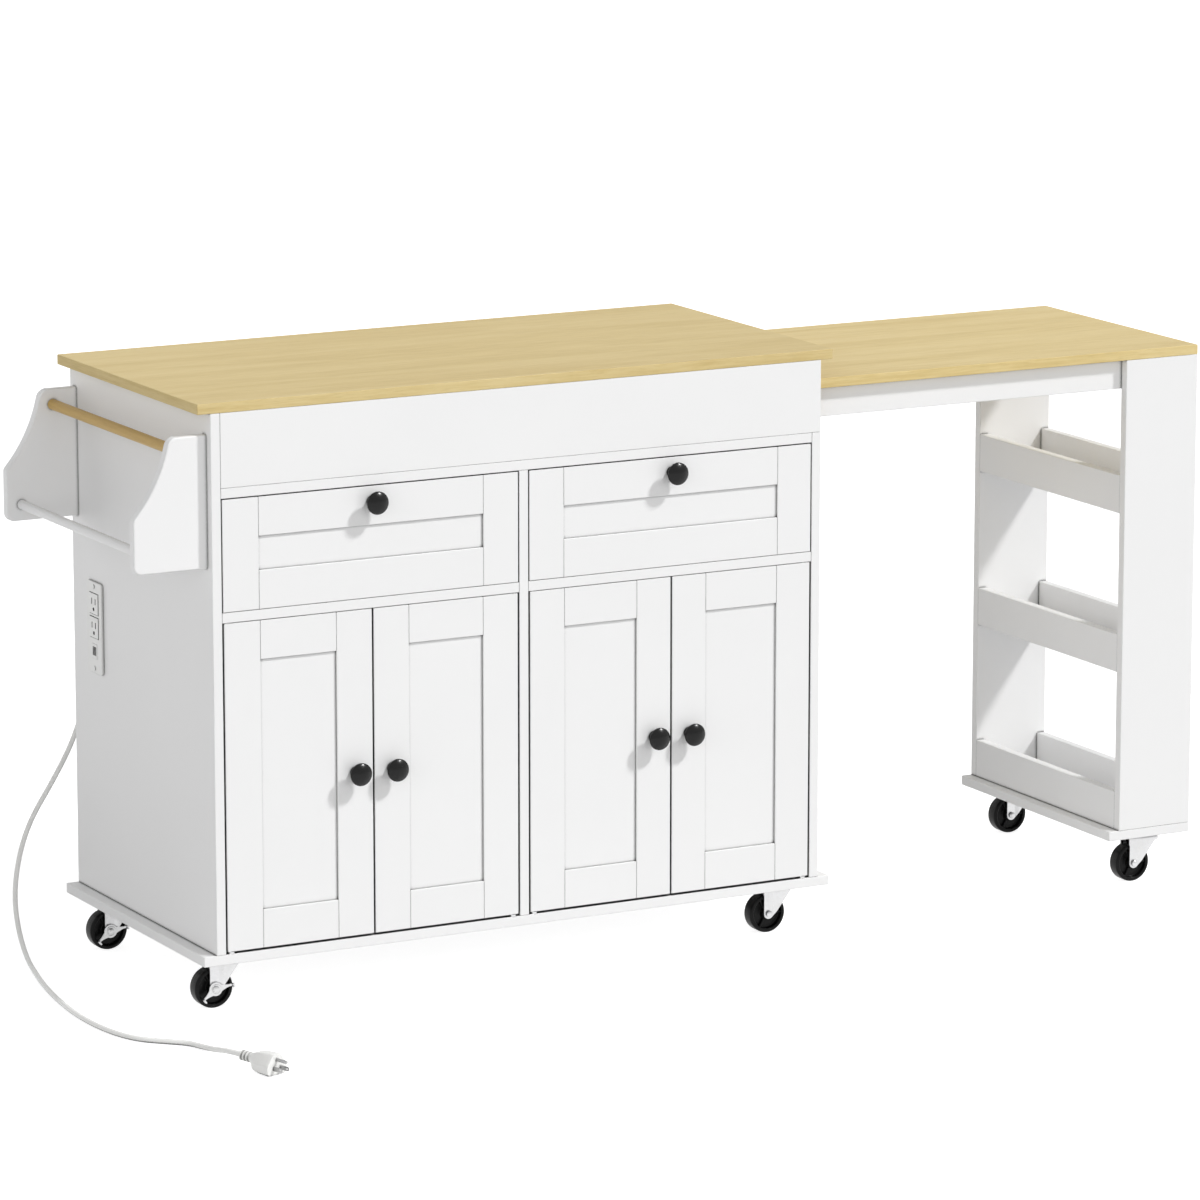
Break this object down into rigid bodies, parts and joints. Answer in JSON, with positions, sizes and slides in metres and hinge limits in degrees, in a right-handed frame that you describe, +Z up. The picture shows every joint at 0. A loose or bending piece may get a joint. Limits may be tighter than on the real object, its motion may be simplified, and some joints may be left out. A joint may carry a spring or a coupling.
{
  "type": "rolling kitchen island",
  "caption": "White rolling kitchen island with framed doors and drawers, a towel rack and outlet at one end, and a wood-look leaf on a spice tower that slides out of the other.",
  "frame": {"origin": "on the floor, under the middle of the island's box with the cord left aside", "axes": "+X along the island towards the leaf, -Y towards the user at the doors, +Z up"},
  "size_m": [1.8725, 0.9355, 0.9],
  "materials": {
    "white_board": "matte white laminate",
    "white_hardboard": "white-faced hardboard",
    "oak_laminate": "light wood-grain laminate",
    "beech_dowel": "clear-lacquered dowel",
    "raw_batten": "planed softwood",
    "runner_steel": "zinc-plated strip",
    "zinc_steel": "bright zinc plating",
    "black_knob": "satin black",
    "black_wheel": "satin black moulding",
    "white_plastic": "fine satin moulding",
    "cord_sheath": "smooth white sheath"
  },
  "bodies": {
    "cabinet": {"worktop": "oak_laminate", "left_side_panel": "white_board", "right_side_panel": "white_board", "centre_divider": "white_board", "base_board": "white_board", "mid_boards": "white_board", "sub_top_board": "white_board", "fascia_panel": "white_board", "rear_top_rail": "white_board", "back_panel": "white_hardboard", "inner_shelves": "white_board", "pivot_and_shelf_pins": "zinc_steel", "door_catches": "white_plastic", "drawer_runners": "runner_steel", "leaf_guides": "raw_batten", "rack_brackets": "white_board", "towel_bar": "beech_dowel", "lower_rail": "white_board", "outlet_plate": "white_plastic", "outlet_module": "white_plastic", "cord_gland": "white_plastic", "power_cord": "cord_sheath", "plug_body": "white_plastic", "plug_prongs": "zinc_steel", "caster_plates": "zinc_steel"},
    "extension": {"leaf_top": "oak_laminate", "leaf_aprons": "white_board", "tower_sides": "white_board", "tower_shelves": "white_board", "tower_rails": "white_board", "tower_base_board": "white_board", "tower_caster_plates": "zinc_steel"},
    "left_drawer": {"left_drawer_front": "white_board", "left_drawer_box": "white_board", "left_drawer_knob": "black_knob"},
    "right_drawer": {"right_drawer_front": "white_board", "right_drawer_box": "white_board", "right_drawer_knob": "black_knob"},
    "left_bay_left_door": {"left_bay_left_door": "white_board", "left_bay_left_door_knob": "black_knob"},
    "left_bay_right_door": {"left_bay_right_door": "white_board", "left_bay_right_door_knob": "black_knob"},
    "right_bay_left_door": {"right_bay_left_door": "white_board", "right_bay_left_door_knob": "black_knob"},
    "right_bay_right_door": {"right_bay_right_door": "white_board", "right_bay_right_door_knob": "black_knob"},
    "front_left_caster_fork": {"front_left_caster_fork": "zinc_steel"},
    "front_left_caster_wheel": {"front_left_caster_wheel": "black_wheel"},
    "front_left_brake_pedal": {"front_left_brake_pedal": "zinc_steel"},
    "front_right_caster_fork": {"front_right_caster_fork": "zinc_steel"},
    "front_right_caster_wheel": {"front_right_caster_wheel": "black_wheel"},
    "rear_left_caster_fork": {"rear_left_caster_fork": "zinc_steel"},
    "rear_left_caster_wheel": {"rear_left_caster_wheel": "black_wheel"},
    "rear_left_brake_pedal": {"rear_left_brake_pedal": "zinc_steel"},
    "rear_right_caster_fork": {"rear_right_caster_fork": "zinc_steel"},
    "rear_right_caster_wheel": {"rear_right_caster_wheel": "black_wheel"},
    "tower_front_caster_fork": {"tower_front_caster_fork": "zinc_steel"},
    "tower_front_caster_wheel": {"tower_front_caster_wheel": "black_wheel"},
    "tower_rear_caster_fork": {"tower_rear_caster_fork": "zinc_steel"},
    "tower_rear_caster_wheel": {"tower_rear_caster_wheel": "black_wheel"}
  },
  "joints": [
    {"name": "leaf_slide", "type": "slide", "parent": "cabinet", "child": "extension", "axis": [-1, 0, 0], "range_m": [0, 0.52]},
    {"name": "left_drawer_slide", "type": "slide", "parent": "cabinet", "child": "left_drawer", "axis": [0, -1, 0], "range_m": [0, 0.28]},
    {"name": "right_drawer_slide", "type": "slide", "parent": "cabinet", "child": "right_drawer", "axis": [0, -1, 0], "range_m": [0, 0.28]},
    {"name": "left_bay_left_door_hinge", "type": "hinge", "parent": "cabinet", "child": "left_bay_left_door", "pos_m": [-0.7625, -0.2315, 0.336], "axis": [0, 0, -1], "range_deg": [0, 105]},
    {"name": "left_bay_right_door_hinge", "type": "hinge", "parent": "cabinet", "child": "left_bay_right_door", "pos_m": [-0.305, -0.2315, 0.336], "axis": [0, 0, 1], "range_deg": [0, 84]},
    {"name": "right_bay_left_door_hinge", "type": "hinge", "parent": "cabinet", "child": "right_bay_left_door", "pos_m": [-0.27, -0.2315, 0.336], "axis": [0, 0, -1], "range_deg": [0, 84]},
    {"name": "right_bay_right_door_hinge", "type": "hinge", "parent": "cabinet", "child": "right_bay_right_door", "pos_m": [0.1875, -0.2315, 0.336], "axis": [0, 0, 1], "range_deg": [0, 105]},
    {"name": "front_left_swivel", "type": "hinge", "parent": "cabinet", "child": "front_left_caster_fork", "pos_m": [-0.7495, -0.1755, 0.071], "axis": [0, 0, 1], "continuous": true},
    {"name": "front_left_wheel_spin", "type": "hinge", "parent": "front_left_caster_fork", "child": "front_left_caster_wheel", "pos_m": [-0.7695, -0.1755, 0.03], "axis": [0, 1, 0], "continuous": true},
    {"name": "front_left_brake", "type": "hinge", "parent": "front_left_caster_fork", "child": "front_left_brake_pedal", "pos_m": [-0.7695, -0.1915, 0.03], "axis": [0, 1, 0], "range_deg": [0, 16]},
    {"name": "front_right_swivel", "type": "hinge", "parent": "cabinet", "child": "front_right_caster_fork", "pos_m": [0.1745, -0.1755, 0.071], "axis": [0, 0, 1], "continuous": true},
    {"name": "front_right_wheel_spin", "type": "hinge", "parent": "front_right_caster_fork", "child": "front_right_caster_wheel", "pos_m": [0.1545, -0.1755, 0.03], "axis": [0, 1, 0], "continuous": true},
    {"name": "rear_left_swivel", "type": "hinge", "parent": "cabinet", "child": "rear_left_caster_fork", "pos_m": [-0.7495, 0.2025, 0.071], "axis": [0, 0, 1], "continuous": true},
    {"name": "rear_left_wheel_spin", "type": "hinge", "parent": "rear_left_caster_fork", "child": "rear_left_caster_wheel", "pos_m": [-0.7695, 0.2025, 0.03], "axis": [0, 1, 0], "continuous": true},
    {"name": "rear_left_brake", "type": "hinge", "parent": "rear_left_caster_fork", "child": "rear_left_brake_pedal", "pos_m": [-0.7695, 0.1865, 0.03], "axis": [0, 1, 0], "range_deg": [0, 16]},
    {"name": "rear_right_swivel", "type": "hinge", "parent": "cabinet", "child": "rear_right_caster_fork", "pos_m": [0.1745, 0.2025, 0.071], "axis": [0, 0, 1], "continuous": true},
    {"name": "rear_right_wheel_spin", "type": "hinge", "parent": "rear_right_caster_fork", "child": "rear_right_caster_wheel", "pos_m": [0.1545, 0.2025, 0.03], "axis": [0, 1, 0], "continuous": true},
    {"name": "tower_front_swivel", "type": "hinge", "parent": "extension", "child": "tower_front_caster_fork", "pos_m": [0.8375, -0.1685, 0.071], "axis": [0, 0, 1], "continuous": true},
    {"name": "tower_front_wheel_spin", "type": "hinge", "parent": "tower_front_caster_fork", "child": "tower_front_caster_wheel", "pos_m": [0.8175, -0.1685, 0.03], "axis": [0, 1, 0], "continuous": true},
    {"name": "tower_rear_swivel", "type": "hinge", "parent": "extension", "child": "tower_rear_caster_fork", "pos_m": [0.8375, 0.1955, 0.071], "axis": [0, 0, 1], "continuous": true},
    {"name": "tower_rear_wheel_spin", "type": "hinge", "parent": "tower_rear_caster_fork", "child": "tower_rear_caster_wheel", "pos_m": [0.8175, 0.1955, 0.03], "axis": [0, 1, 0], "continuous": true}
  ]
}
